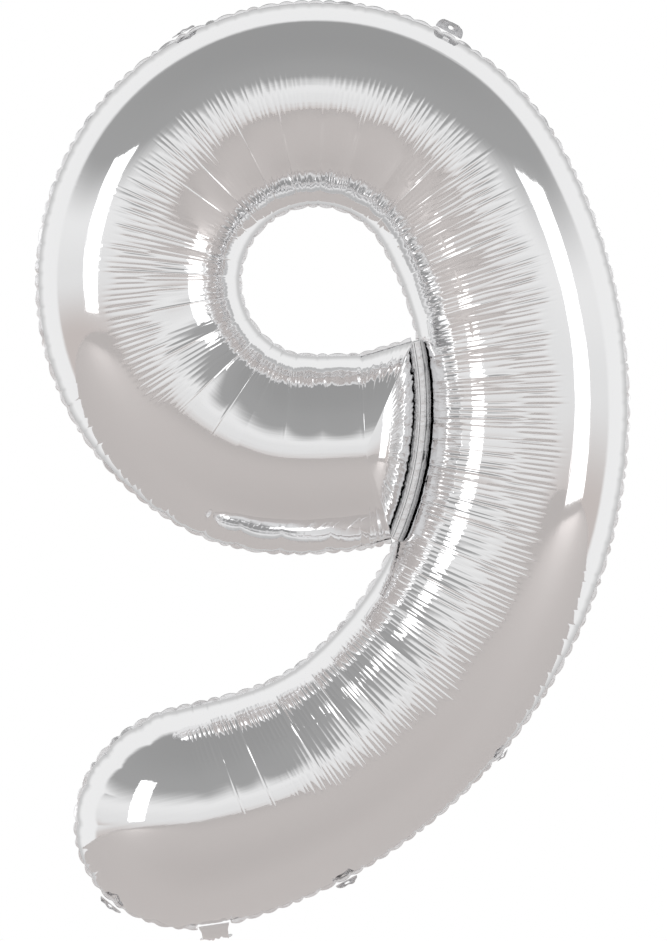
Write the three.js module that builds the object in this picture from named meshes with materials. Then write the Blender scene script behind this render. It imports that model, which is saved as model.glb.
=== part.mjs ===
// A foil number balloon in the shape of a 9, blown up: two metallised film sheets heat-sealed round
// their edge, with hanging tabs, a filling neck and a self-sealing film valve behind the neck.
// Millimetres, +Z up. The 9 is drawn in the XZ plane and its front faces -Y. The origin lies in the
// seam plane, midway between the fold lines of the two top hanging tabs.
import * as THREE from "three";

// ---------- driving dimensions: millimetres, and degrees from +X towards +Z ----------
const BOWL_RADIUS = 166; // centreline of the round bowl
const STEM_RADIUS = 405; // centreline of the stem and tail
const JOIN_ANGLE = 29.5; // where the bowl's arc runs into the stem's arc
const BOWL_LEAVE_ANGLE = 245; // where the bowl leaves its circle and heads for the weld
const TAIL_ANGLE = -75.5; // where the stem's arc ends and the rounded tail cap begins
const BOWL_END = [46, -159]; // last centreline point of the bowl, from the bowl's centre
const BOWL_END_SLOPE = 3; // and the way it rises there
const BEND_REACH = 39; // handle length of the bend between the circle and that point
const HALF_WIDTH = 93; // centreline to seam line
const BOWL_END_HALF_WIDTH = 88; // the same at the end of the bowl
const SWELL_ANGLE = -50; // from here to the tail the tube swells towards its inner side
const TAIL_SWELL = 8; // and gains this much half-width
const DEPTH_RATIO = 0.95; // height of each panel's crest over the half-width
const CAP_LENGTH = 115; // how far the tail cap reaches past the stem's arc
const WELD_TOP_ANGLE = 11.6; // the weld's two ends, about the stem's centre
const WELD_BOTTOM_ANGLE = -23.9;
const WELD_WIDTH = 7;
const SEAM_WIDTH = 5; // sealed edge outside the seam line
const INNER_SEAM_WIDTH = 4; // the same round the eye and inside the stem
const SEAM_TAPER = 115; // length of edge over which one width runs into the other
const FILM = 0.6; // panel film, thicker than the real film
const SHEET = 0.6; // the two films sealed together
const GAP = 0.3; // clearance between pieces that meet

const TAB_ROOT_GAP = 0.5; // from the seam's edge to a tab's fold line
const CORNER_TAB_ROOT_GAP = 1.5; // the same on the tail cap, whose seam is tightly bent
const TAB_SHOULDER = 0.55; // share of a tab's height that its round shoulders take up
const EYELET_RADIUS = 2.6;
const TOP_TAB_ANGLE = 62; // the two top tabs mirror each other about the bowl's centre
// Each tab's angle is about the bowl's or the stem's centre, or a turn of the tail cap. Its fold is
// its tilt from the seam plane to the front.
const TABS = [
  { name: "tab_top_left", arc: "bowl", angle: 180 - TOP_TAB_ANGLE, width: 24, height: 13, fold: 84 },
  { name: "tab_top_right", arc: "bowl", angle: TOP_TAB_ANGLE, width: 27, height: 14, fold: 50 },
  { name: "tab_side_upper", arc: "stem", angle: -40.5, width: 15, height: 11, fold: 84 },
  { name: "tab_side_lower", arc: "stem", angle: -62, width: 22, height: 12, fold: 70 },
  { name: "tab_tail_corner", arc: "cap", angle: 33, width: 24, height: 12, fold: 76 },
];

const NECK_PAST_TAIL = 13; // its middle, along the seam line from the end of the stem's arc
const NECK_WIDTH = 29;
const NECK_DROP = 4; // straight part through the seam
const NECK_BEND_RADIUS = 10; // then it curls to the back
const NECK_TAIL = 20; // flat end behind the bend
const NECK_FILM = 0.5;
const NECK_ROOT_GAP = 0.8;
const MOUTH_WIDTH = NECK_WIDTH + 1; // break in the seam where the neck passes
const NECK_TANGENT = 1; // half the length of edge that sets which way the neck points

const VALVE_WIDTH = 24;
const VALVE_LENGTH = 84;
const VALVE_FILM = 0.3;
const VALVE_INSET = 1.6; // seam line to the valve's fixed end

// ---------- how finely the curves are divided ----------
const BOWL_STEPS = 30;
const STEM_STEPS = 32;
const BEND_STEPS = 5;
const CAP_STEPS = 12;
const WELD_STEPS = 7;
const CREST_TO_SEAM_STEPS = 6;
const CURVE_STEPS = 8; // on each curve of a tab's or the neck's outline
const CORNER_STEP = 0.02; // how closely the corner of the eye is found

// ---------- plane geometry: every Vector2 is (x, z) ----------
const RAD = Math.PI / 180;
const vec = (x, z) => new THREE.Vector2(x, z);
const direction = (degrees) => vec(Math.cos(degrees * RAD), Math.sin(degrees * RAD));
const polar = (centre, radius, degrees) => centre.clone().addScaledVector(direction(degrees), radius);
const toSpace = (p, y) => new THREE.Vector3(p.x, y, p.y);
const FRONT = new THREE.Vector3(0, -1, 0);

const SEAM_RADIUS = BOWL_RADIUS + HALF_WIDTH;
const TAB_RADIUS = SEAM_RADIUS + SEAM_WIDTH + TAB_ROOT_GAP;
const BOWL_CENTRE = vec(0, -TAB_RADIUS * Math.sin(TOP_TAB_ANGLE * RAD));
const STEM_CENTRE = polar(BOWL_CENTRE, BOWL_RADIUS - STEM_RADIUS, JOIN_ANGLE);
const TAIL_HALF_WIDTH = HALF_WIDTH + TAIL_SWELL;
const TAIL_END = polar(STEM_CENTRE, STEM_RADIUS - TAIL_SWELL, TAIL_ANGLE);
const STEM_INNER = STEM_RADIUS - HALF_WIDTH;
const STEM_OUTER = STEM_RADIUS + HALF_WIDTH;

// Stations along the middle of the tube, from the end of the bowl to the tail. Each has its outward
// normal and its half-width.
function spine() {
  const stations = [];
  const leave = polar(BOWL_CENTRE, BOWL_RADIUS, BOWL_LEAVE_ANGLE);
  const end = BOWL_CENTRE.clone().add(vec(...BOWL_END));
  const bend = new THREE.CubicBezierCurve(
    end,
    polar(end, -BEND_REACH, BOWL_END_SLOPE),
    polar(leave, BEND_REACH, BOWL_LEAVE_ANGLE + 90),
    leave,
  );
  for (let i = 0; i < BEND_STEPS; i++) {
    const t = i / BEND_STEPS;
    const along = bend.getTangent(t);
    const half = THREE.MathUtils.lerp(BOWL_END_HALF_WIDTH, HALF_WIDTH, t);
    stations.push({ at: bend.getPoint(t), out: vec(-along.y, along.x), half });
  }
  for (let i = 0; i <= BOWL_STEPS; i++) {
    const angle = THREE.MathUtils.lerp(BOWL_LEAVE_ANGLE, JOIN_ANGLE, i / BOWL_STEPS);
    const at = polar(BOWL_CENTRE, BOWL_RADIUS, angle);
    stations.push({ at, out: direction(angle), half: HALF_WIDTH });
  }
  for (let i = 1; i <= STEM_STEPS; i++) {
    const angle = THREE.MathUtils.lerp(JOIN_ANGLE, TAIL_ANGLE, i / STEM_STEPS);
    const swell = TAIL_SWELL * THREE.MathUtils.smoothstep(-angle, -SWELL_ANGLE, -TAIL_ANGLE);
    const at = polar(STEM_CENTRE, STEM_RADIUS - swell, angle);
    stations.push({ at, out: direction(angle), half: HALF_WIDTH + swell });
  }
  return stations;
}

// A point of the rounded tail cap. Turn runs from 90 on the outer side, through 0 at the tip, to -90.
function capPoint(turn) {
  return TAIL_END.clone()
    .addScaledVector(direction(TAIL_ANGLE - 90), CAP_LENGTH * Math.cos(turn * RAD))
    .addScaledVector(direction(TAIL_ANGLE), TAIL_HALF_WIDTH * Math.sin(turn * RAD));
}

// Which way the cap's outline runs there, towards smaller turns.
function capDirection(turn) {
  return direction(TAIL_ANGLE - 90)
    .multiplyScalar(CAP_LENGTH * Math.sin(turn * RAD))
    .addScaledVector(direction(TAIL_ANGLE), -TAIL_HALF_WIDTH * Math.cos(turn * RAD))
    .normalize();
}

// The seam line is one closed loop: the outer side, the tail cap, the inner side and the bowl's welded
// end. Each point knows the station whose crest it belongs to.
const stations = spine();
const side = (sign) =>
  stations.map((s, crest) => ({ p: s.at.clone().addScaledVector(s.out, sign * s.half), crest }));
const outerSide = side(1);
const innerSide = side(-1).reverse();
const tailCap = Array.from({ length: CAP_STEPS - 1 }, (_, i) => ({
  p: capPoint(90 - (180 * (i + 1)) / CAP_STEPS),
  crest: stations.length - 1,
}));
const bowlEnd = Array.from({ length: WELD_STEPS + 1 }, (_, i) => {
  const angle = THREE.MathUtils.lerp(WELD_TOP_ANGLE, WELD_BOTTOM_ANGLE, i / WELD_STEPS);
  return { p: polar(STEM_CENTRE, STEM_INNER - WELD_WIDTH, angle), crest: 0 };
});
const seamLoop = [...outerSide, ...tailCap, ...innerSide, ...bowlEnd];

// ---------- the two panels ----------

// One half of the inflated skin as a thin shell: from the crest down to the seam line, every section is
// a quarter of an ellipse. Facing is -1 for the front and 1 for the back.
function panel(facing) {
  const positions = [];
  const faces = [];
  const count = seamLoop.length;
  const addSkin = (inset) => {
    const start = positions.length / 3;
    const put = (p, y) => positions.push(...toSpace(p, facing * y).toArray());
    stations.forEach((s) => put(s.at, GAP / 2 + DEPTH_RATIO * s.half - inset));
    for (let ring = 1; ring <= CREST_TO_SEAM_STEPS; ring++) {
      const slope = (ring / CREST_TO_SEAM_STEPS) * 90 * RAD;
      const flat = ring === CREST_TO_SEAM_STEPS;
      for (const { p, crest } of seamLoop) {
        const middle = stations[crest].at;
        const rise = flat ? 0 : (DEPTH_RATIO * stations[crest].half - inset) * Math.cos(slope);
        const reach = p.clone().sub(middle);
        const across = (1 - inset / reach.length()) * Math.sin(slope);
        put(middle.clone().addScaledVector(reach, across), GAP / 2 + rise);
      }
    }
    return start;
  };
  const ringStart = (start, ring) => start + stations.length + (ring - 1) * count;
  const face = (a, b, c, turned) => faces.push(...(turned ? [a, c, b] : [a, b, c]));
  const coverSkin = (start, turned) => {
    for (let i = 0; i < count; i++) {
      const j = (i + 1) % count;
      const first = ringStart(start, 1);
      const crestA = start + seamLoop[i].crest;
      const crestB = start + seamLoop[j].crest;
      face(crestA, first + i, first + j, turned);
      if (crestA !== crestB) face(crestA, first + j, crestB, turned);
      for (let ring = 1; ring < CREST_TO_SEAM_STEPS; ring++) {
        const near = ringStart(start, ring);
        const far = ringStart(start, ring + 1);
        face(near + i, far + i, far + j, turned);
        face(near + i, far + j, near + j, turned);
      }
    }
  };
  const outside = addSkin(0);
  const inside = addSkin(FILM);
  const turned = facing < 0;
  coverSkin(outside, turned);
  coverSkin(inside, !turned);
  const rimOut = ringStart(outside, CREST_TO_SEAM_STEPS);
  const rimIn = ringStart(inside, CREST_TO_SEAM_STEPS);
  for (let i = 0; i < count; i++) {
    const j = (i + 1) % count;
    face(rimOut + i, rimIn + i, rimIn + j, turned);
    face(rimOut + i, rimIn + j, rimOut + j, turned);
  }
  const geometry = new THREE.BufferGeometry();
  geometry.setAttribute("position", new THREE.Float32BufferAttribute(positions, 3));
  geometry.setIndex(faces);
  geometry.computeVertexNormals();
  return geometry;
}

// ---------- flat sealed sheets, in the seam plane ----------

// A flat sheet with the given outline, and perhaps a hole, centred on the seam plane.
function flatSheet(outline, hole) {
  const shape = new THREE.Shape(outline);
  if (hole) shape.holes.push(new THREE.Path(hole));
  const geometry = new THREE.ExtrudeGeometry(shape, { depth: SHEET, bevelEnabled: false });
  geometry.rotateX(90 * RAD);
  geometry.translate(0, SHEET / 2, 0);
  return geometry;
}

// A line moved sideways by a distance, to its left as it runs.
function moved(line, distance) {
  return line.map((p, i) => {
    const along = line[Math.min(i + 1, line.length - 1)].clone().sub(line[Math.max(i - 1, 0)]);
    return p.clone().addScaledVector(vec(-along.y, along.x).normalize(), distance);
  });
}

// The edge strip outside a stretch of seam line that runs with the panel on its right. Its width goes
// evenly from that of its start to its usual one within a length of the strip.
function edgeStrip(line, startWidth, width, length) {
  const near = moved(line, GAP);
  const start = moved(line, startWidth);
  const full = moved(line, width);
  const far = start.map((p, i) => p.clone().lerp(full[i], Math.min(1, p.distanceTo(start[0]) / length)));
  return flatSheet([...near, ...far.reverse()]);
}

const stemAngle = (p) => Math.atan2(p.y - STEM_CENTRE.y, p.x - STEM_CENTRE.x) / RAD;
const gapAngle = GAP / STEM_INNER / RAD;

// The seam line as an open path: from the notch round the outside, the tail and the inner side, to the
// corner of the eye. Distances are measured along it.
const seamPath = [bowlEnd.at(-1), ...outerSide, ...tailCap, ...innerSide, bowlEnd[0]].map(({ p }) => p);
const distances = [0];
for (let i = 1; i < seamPath.length; i++) {
  distances.push(distances[i - 1] + seamPath[i].distanceTo(seamPath[i - 1]));
}
const pathEnd = distances.at(-1);
const neckDistance = distances[outerSide.length] + NECK_PAST_TAIL;

function pathPoint(distance) {
  const i = distances.findIndex((d, k) => k > 0 && d >= distance);
  const step = (distance - distances[i - 1]) / (distances[i] - distances[i - 1]);
  return seamPath[i - 1].clone().lerp(seamPath[i], step);
}

// Where the inner side of the stem passes an angle about the stem's centre.
function innerDistance(angle) {
  const start = outerSide.length + tailCap.length + 1;
  const i = seamPath.findIndex((p, k) => k > start && stemAngle(p) >= angle);
  const [low, high] = [stemAngle(seamPath[i - 1]), stemAngle(seamPath[i])];
  return THREE.MathUtils.mapLinear(angle, low, high, distances[i - 1], distances[i]);
}

function stretch(from, to) {
  const between = (_, i) => distances[i] > from + GAP && distances[i] < to - GAP;
  return [pathPoint(from), ...seamPath.filter(between), pathPoint(to)];
}

// From the notch round the outside of the bowl and down the stem to the filling neck.
function outerSeam() {
  const line = stretch(0, neckDistance - MOUTH_WIDTH / 2);
  return edgeStrip(line, INNER_SEAM_WIDTH, SEAM_WIDTH, SEAM_TAPER);
}

// From the filling neck round the tail cap and back up the inner side of the stem to the notch.
function tailSeam() {
  const notch = innerDistance(WELD_BOTTOM_ANGLE - gapAngle);
  const line = stretch(neckDistance + MOUTH_WIDTH / 2, notch);
  return edgeStrip(line, SEAM_WIDTH, INNER_SEAM_WIDTH, 2 * SEAM_TAPER);
}

// The ring round the eye of the 9, pointed where the bowl meets the stem.
function holeSeam() {
  const line = stretch(innerDistance(WELD_TOP_ANGLE), pathEnd);
  const edge = moved(line, INNER_SEAM_WIDTH);
  const low = edge.at(-2);
  const point = edge.at(-1);
  const stemEdge = STEM_INNER - INNER_SEAM_WIDTH;
  const towardsLow = low.clone().sub(point).normalize().multiplyScalar(CORNER_STEP);
  while (point.distanceTo(STEM_CENTRE) > stemEdge) point.add(towardsLow);
  const first = edge.findIndex((p, i) => i > 0 && stemAngle(p) > stemAngle(point));
  return flatSheet(moved(line, GAP), edge.slice(first));
}

// The seal that closes the end of the bowl against the stem, from the notch up to the eye.
function bowlWeld() {
  const arc = (radius) =>
    Array.from({ length: WELD_STEPS + 1 }, (_, i) => {
      const span = i / WELD_STEPS;
      const low = WELD_BOTTOM_ANGLE + gapAngle;
      return polar(STEM_CENTRE, radius, THREE.MathUtils.lerp(low, WELD_TOP_ANGLE - gapAngle, span));
    });
  return flatSheet([...arc(STEM_INNER - GAP), ...arc(STEM_INNER - WELD_WIDTH + GAP).reverse()]);
}

// ---------- hanging tabs ----------

// Where a tab is rooted on the edge of the seam, and which way is outward there.
function tabRoot({ arc, angle }) {
  if (arc === "bowl") return { at: polar(BOWL_CENTRE, TAB_RADIUS, angle), out: direction(angle) };
  if (arc === "stem") {
    const radius = STEM_OUTER + SEAM_WIDTH + TAB_ROOT_GAP;
    return { at: polar(STEM_CENTRE, radius, angle), out: direction(angle) };
  }
  const along = capDirection(angle);
  const out = vec(-along.y, along.x);
  return { at: capPoint(angle).addScaledVector(out, SEAM_WIDTH + CORNER_TAB_ROOT_GAP), out };
}

// A tab with round shoulders and an eyelet, drawn flat: across is x, outward is y.
function tabGeometry(width, height) {
  const shape = new THREE.Shape();
  const round = height * TAB_SHOULDER;
  shape.moveTo(-width / 2, 0);
  shape.lineTo(width / 2, 0);
  shape.quadraticCurveTo(width / 2, height, width / 2 - round, height);
  shape.lineTo(round - width / 2, height);
  shape.quadraticCurveTo(-width / 2, height, -width / 2, 0);
  const eyelet = new THREE.Path();
  eyelet.absarc(0, height / 2, EYELET_RADIUS, 0, 2 * Math.PI, true);
  shape.holes.push(eyelet);
  const geometry = new THREE.ExtrudeGeometry(shape, {
    depth: SHEET,
    bevelEnabled: false,
    curveSegments: CURVE_STEPS,
  });
  geometry.translate(0, 0, -SHEET / 2);
  return geometry;
}

// Stands a flat-drawn piece at a point of the edge, tilted to the front about its fold line.
function place(object, { at, out }, fold) {
  const across = toSpace(vec(out.y, -out.x), 0);
  const up = toSpace(out, 0).multiplyScalar(Math.cos(fold * RAD));
  up.addScaledVector(FRONT, Math.sin(fold * RAD));
  const basis = new THREE.Matrix4().makeBasis(across, up, across.clone().cross(up));
  object.position.copy(toSpace(at, 0));
  object.quaternion.setFromRotationMatrix(basis);
  return object;
}

// ---------- filling neck ----------

// One film of the neck: straight through the seam, round a bend to the back, then flat. It is drawn
// with outward as x and backward as y, and runs across the neck's width.
function neckFilm(offset) {
  const inner = NECK_BEND_RADIUS + offset - NECK_FILM / 2;
  const outer = NECK_BEND_RADIUS + offset + NECK_FILM / 2;
  const centre = vec(NECK_ROOT_GAP + NECK_DROP, NECK_BEND_RADIUS);
  const shape = new THREE.Shape();
  shape.moveTo(NECK_ROOT_GAP, centre.y - outer);
  shape.lineTo(centre.x, centre.y - outer);
  shape.absarc(centre.x, centre.y, outer, -90 * RAD, 0, false);
  shape.lineTo(centre.x + outer, centre.y + NECK_TAIL);
  shape.lineTo(centre.x + inner, centre.y + NECK_TAIL);
  shape.lineTo(centre.x + inner, centre.y);
  shape.absarc(centre.x, centre.y, inner, 0, -90 * RAD, true);
  shape.lineTo(NECK_ROOT_GAP, centre.y - inner);
  const geometry = new THREE.ExtrudeGeometry(shape, {
    depth: NECK_WIDTH,
    bevelEnabled: false,
    curveSegments: CURVE_STEPS,
  });
  geometry.translate(0, 0, -NECK_WIDTH / 2);
  return geometry;
}

// The neck's own frame: outward, backward, and across.
function neckGroup() {
  const group = new THREE.Group();
  const along = pathPoint(neckDistance + NECK_TANGENT).sub(pathPoint(neckDistance - NECK_TANGENT));
  const outward = toSpace(vec(-along.y, along.x).normalize(), 0);
  const backward = new THREE.Vector3(0, 1, 0);
  const basis = new THREE.Matrix4().makeBasis(outward, backward, outward.clone().cross(backward));
  group.position.copy(toSpace(pathPoint(neckDistance), 0));
  group.quaternion.setFromRotationMatrix(basis);
  return group;
}

// One film of the valve, lying inside the tube from just inside the seam line: inward is -x.
function valveFilm(facing) {
  const geometry = new THREE.BoxGeometry(VALVE_LENGTH, VALVE_FILM, VALVE_WIDTH);
  geometry.translate(-VALVE_INSET - VALVE_LENGTH / 2, facing * (GAP / 2 + VALVE_FILM / 2), 0);
  return geometry;
}

// ---------- the balloon ----------
const foil = () => new THREE.MeshStandardMaterial({ color: 0xdfe1e4, roughness: 0.08, metalness: 1 });
const sealedFoil = () => new THREE.MeshStandardMaterial({ color: 0xcfd1d4, roughness: 0.2, metalness: 1 });
const clearFilm = () => new THREE.MeshStandardMaterial({ color: 0xe8eaea, roughness: 0.35, metalness: 0 });

const named = (name, geometry, material) => {
  const mesh = new THREE.Mesh(geometry, material);
  mesh.name = name;
  return mesh;
};

const balloon = new THREE.Group();
balloon.add(named("front_panel", panel(-1), foil()));
balloon.add(named("back_panel", panel(1), foil()));
balloon.add(named("outer_seam", outerSeam(), sealedFoil()));
balloon.add(named("tail_seam", tailSeam(), sealedFoil()));
balloon.add(named("hole_seam", holeSeam(), sealedFoil()));
balloon.add(named("bowl_weld", bowlWeld(), sealedFoil()));
for (const tab of TABS) {
  const mesh = named(tab.name, tabGeometry(tab.width, tab.height), sealedFoil());
  balloon.add(place(mesh, tabRoot(tab), tab.fold));
}
const neck = neckGroup();
const halfStep = (NECK_FILM + GAP) / 2;
neck.add(named("neck_front_film", neckFilm(halfStep), foil()));
neck.add(named("neck_back_film", neckFilm(-halfStep), foil()));
neck.add(named("valve_front_film", valveFilm(-1), clearFilm()));
neck.add(named("valve_back_film", valveFilm(1), clearFilm()));
balloon.add(neck);

export default balloon;
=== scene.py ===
import math

import bpy
import numpy as np
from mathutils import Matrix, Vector


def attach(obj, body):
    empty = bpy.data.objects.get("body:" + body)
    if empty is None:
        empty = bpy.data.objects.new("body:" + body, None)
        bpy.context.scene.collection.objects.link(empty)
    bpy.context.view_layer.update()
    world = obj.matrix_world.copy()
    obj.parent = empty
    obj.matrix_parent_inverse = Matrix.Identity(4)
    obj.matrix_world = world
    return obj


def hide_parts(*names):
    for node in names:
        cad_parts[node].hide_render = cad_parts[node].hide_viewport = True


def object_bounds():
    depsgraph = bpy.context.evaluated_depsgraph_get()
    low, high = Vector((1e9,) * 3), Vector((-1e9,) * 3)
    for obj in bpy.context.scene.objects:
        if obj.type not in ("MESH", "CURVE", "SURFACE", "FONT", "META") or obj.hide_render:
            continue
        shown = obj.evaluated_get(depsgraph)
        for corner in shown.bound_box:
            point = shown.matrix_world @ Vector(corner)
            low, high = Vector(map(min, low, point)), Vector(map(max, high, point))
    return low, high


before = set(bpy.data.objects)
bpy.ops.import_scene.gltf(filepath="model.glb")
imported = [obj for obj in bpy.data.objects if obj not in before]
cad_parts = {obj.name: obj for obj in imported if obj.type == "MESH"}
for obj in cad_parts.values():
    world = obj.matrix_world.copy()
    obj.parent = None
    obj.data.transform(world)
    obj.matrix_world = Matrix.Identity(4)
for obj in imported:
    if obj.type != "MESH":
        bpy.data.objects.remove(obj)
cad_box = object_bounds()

MM = 0.001

# ---------- the balloon's driving dimensions: metres, and degrees from +X towards +Z ----------
BOWL_RADIUS = 166 * MM
STEM_RADIUS = 405 * MM
JOIN_ANGLE = 29.5
BOWL_LEAVE_ANGLE = 245
TAIL_ANGLE = -75.5
BOWL_END = (46 * MM, -159 * MM)
BOWL_END_SLOPE = 3
BEND_REACH = 39 * MM
HALF_WIDTH = 93 * MM
BOWL_END_HALF_WIDTH = 88 * MM
SWELL_ANGLE = -50
TAIL_SWELL = 8 * MM
DEPTH_RATIO = 0.95
CAP_LENGTH = 115 * MM
WELD_TOP_ANGLE = 11.6
WELD_BOTTOM_ANGLE = -23.9
WELD_WIDTH = 7 * MM
SEAM_WIDTH = 5 * MM
INNER_SEAM_WIDTH = 4 * MM
GAP = 0.3 * MM
TAB_ROOT_GAP = 0.5 * MM
CORNER_TAB_ROOT_GAP = 1.5 * MM
EYELET_RADIUS = 2.6 * MM
TAB_SHOULDER = 0.55
TOP_TAB_ANGLE = 62
NECK_PAST_TAIL = 13 * MM
NECK_WIDTH = 29 * MM
NECK_DROP = 4 * MM
NECK_BEND_RADIUS = 10 * MM
NECK_TAIL = 20 * MM
NECK_ROOT_GAP = 0.8 * MM
MOUTH_WIDTH = 30 * MM
VALVE_WIDTH = 24 * MM
VALVE_LENGTH = 84 * MM
VALVE_INSET = 1.6 * MM

# name, arc that it is rooted on, angle there, width, height and fold to the front
TABS = (
    ("tab_top_left", "bowl", 180 - TOP_TAB_ANGLE, 24 * MM, 13 * MM, 84),
    ("tab_top_right", "bowl", TOP_TAB_ANGLE, 27 * MM, 14 * MM, 50),
    ("tab_side_upper", "stem", -40.5, 15 * MM, 11 * MM, 84),
    ("tab_side_lower", "stem", -62, 22 * MM, 12 * MM, 70),
    ("tab_tail_corner", "cap", 33, 24 * MM, 12 * MM, 76),
)

# ---------- how finely the skin is divided ----------
STATION_STEP = 0.62 * MM  # along the crest
CAP_POINTS = 280
WELD_POINTS = 120
CORNER_POINTS = 50  # on each straight run from the end of the bowl to the weld
OUTER_SLOPES = (0, 3.5, 7, 10.5, 14, 17.5, 21, 26, 33, 41, 50, 59, 68, 77, 84, 90)
INNER_SLOPES = (0, 4, 8, 13, 18, 24, 30, 36, 42, 47, 52, 58, 66, 75, 83, 90)
LINING_SLOPES = (0, 30, 60, 90)
LINING_INSET = 1.2 * MM
BEND_STATIONS = int(0.1 / STATION_STEP)  # on the bend at the end of the bowl


# ---------- small tools ----------
def unit(degrees):
    """The direction at an angle, one unit long."""
    angle = np.radians(degrees)
    return np.stack([np.cos(angle), np.sin(angle)], axis=-1)


def smoothstep(value, low, high):
    """0 below low and 1 above high, with a soft passage between them."""
    t = np.clip((value - low) / (high - low), 0, 1)
    return t * t * (3 - 2 * t)


def window(value, low, high, soft):
    """1 between low and high, falling to 0 within soft on either side."""
    return smoothstep(value, low - soft, low) * (1 - smoothstep(value, high, high + soft))


def noise(x, seed, cells=4096):
    """Smooth noise from -1 to 1, one value per unit of x."""
    values = np.random.default_rng(seed).uniform(-1, 1, cells)
    whole = np.floor(x).astype(int)
    t = x - whole
    t = t * t * (3 - 2 * t)
    return values[whole % cells] * (1 - t) + values[(whole + 1) % cells] * t


def noise2(x, y, seed, cells=257):
    """The same over a plane, one value per unit of x and y."""
    values = np.random.default_rng(seed).uniform(-1, 1, (cells, cells))
    i, j = np.floor(x).astype(int), np.floor(y).astype(int)
    s, t = x - i, y - j
    s, t = s * s * (3 - 2 * s), t * t * (3 - 2 * t)
    at = lambda a, b: values[a % cells, b % cells]
    low = at(i, j) * (1 - s) + at(i + 1, j) * s
    high = at(i, j + 1) * (1 - s) + at(i + 1, j + 1) * s
    return low * (1 - t) + high * t


def folds(x, spacing, jitter, seed):
    """Cuts a length into uneven folds. Gives each point its fold's number, its place in the fold from
    0 to 1, and its distance to the nearer end."""
    count = int(np.ceil(x.max() / spacing)) + 3
    shift = jitter * np.random.default_rng(seed).uniform(-0.5, 0.5, count)
    ends = (np.arange(count) - 1 + shift) * spacing
    index = np.searchsorted(ends, x, side="right") - 1
    low, high = ends[index], ends[index + 1]
    return index, (x - low) / (high - low), np.minimum(x - low, high - x)


def ragged(index, low, high, seed):
    """A random value for each fold."""
    return np.random.default_rng(seed).uniform(low, high, index.max() + 2)[index]


# ---------- plane geometry of the 9: every point is (x, z) ----------
TAB_RADIUS = BOWL_RADIUS + HALF_WIDTH + SEAM_WIDTH + TAB_ROOT_GAP
BOWL_CENTRE = np.array([0, -TAB_RADIUS * math.sin(math.radians(TOP_TAB_ANGLE))])
STEM_CENTRE = BOWL_CENTRE + (BOWL_RADIUS - STEM_RADIUS) * unit(JOIN_ANGLE)
TAIL_END = STEM_CENTRE + (STEM_RADIUS - TAIL_SWELL) * unit(TAIL_ANGLE)
TAIL_HALF_WIDTH = HALF_WIDTH + TAIL_SWELL
STEM_INNER = STEM_RADIUS - HALF_WIDTH
STEM_OUTER = STEM_RADIUS + HALF_WIDTH


def bend_points(count):
    """The bend from the end of the bowl to its circle: points, outward normals and half-widths."""
    leave = BOWL_CENTRE + BOWL_RADIUS * unit(BOWL_LEAVE_ANGLE)
    end = BOWL_CENTRE + np.array(BOWL_END)
    first = end - BEND_REACH * unit(BOWL_END_SLOPE)
    second = leave + BEND_REACH * unit(BOWL_LEAVE_ANGLE + 90)
    t = np.linspace(0, 1, count, endpoint=False)[:, None]
    at = (1 - t) ** 3 * end + 3 * t * (1 - t) ** 2 * first + 3 * t**2 * (1 - t) * second + t**3 * leave
    along = (1 - t) ** 2 * (first - end) + 2 * t * (1 - t) * (second - first) + t**2 * (leave - second)
    along /= np.linalg.norm(along, axis=1, keepdims=True)
    out = np.stack([-along[:, 1], along[:, 0]], axis=1)
    return at, out, BOWL_END_HALF_WIDTH + (HALF_WIDTH - BOWL_END_HALF_WIDTH) * t[:, 0]


def spine():
    """Stations along the middle of the tube, from the end of the bowl to the tail."""
    bend_at, bend_out, bend_half = bend_points(BEND_STATIONS)
    bowl_length = BOWL_RADIUS * math.radians(BOWL_LEAVE_ANGLE - JOIN_ANGLE)
    bowl = np.linspace(BOWL_LEAVE_ANGLE, JOIN_ANGLE, int(bowl_length / STATION_STEP), endpoint=False)
    stem_length = STEM_RADIUS * math.radians(JOIN_ANGLE - TAIL_ANGLE)
    stem = np.linspace(JOIN_ANGLE, TAIL_ANGLE, int(stem_length / STATION_STEP))
    swell = TAIL_SWELL * smoothstep(-stem, -SWELL_ANGLE, -TAIL_ANGLE)
    stem_at = STEM_CENTRE + (STEM_RADIUS - swell)[:, None] * unit(stem)
    at = np.concatenate([bend_at, BOWL_CENTRE + BOWL_RADIUS * unit(bowl), stem_at])
    out = np.concatenate([bend_out, unit(bowl), unit(stem)])
    half = np.concatenate([bend_half, np.full(len(bowl), HALF_WIDTH), HALF_WIDTH + swell])
    steps = np.linalg.norm(np.diff(at, axis=0), axis=1)
    return at, out, half, np.concatenate([[0], np.cumsum(steps)])


def cap_point(turn):
    """A point of the rounded tail cap. Turn runs from 90 on the outer side to -90 on the inner."""
    turn = np.radians(np.asarray(turn, float))[..., None]
    reach = CAP_LENGTH * np.cos(turn) * unit(TAIL_ANGLE - 90)
    return TAIL_END + reach + TAIL_HALF_WIDTH * np.sin(turn) * unit(TAIL_ANGLE)


SPINE_AT, SPINE_OUT, SPINE_HALF, SPINE_RUN = spine()
STATIONS = len(SPINE_AT)
BOWL_START = SPINE_RUN[BEND_STATIONS]
JOIN_RUN = BOWL_START + BOWL_RADIUS * math.radians(BOWL_LEAVE_ANGLE - JOIN_ANGLE)


def run_of_bowl(angle):
    """How far along the crest an angle about the bowl's centre lies."""
    return BOWL_START + BOWL_RADIUS * math.radians(BOWL_LEAVE_ANGLE - angle)


def run_of_stem(angle):
    """The same for an angle about the stem's centre."""
    return JOIN_RUN + STEM_RADIUS * math.radians(JOIN_ANGLE - angle)


OUTER_SIDE, TAIL_CAP, INNER_SIDE, WELDED_END = range(4)  # the parts of the seam line


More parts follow.
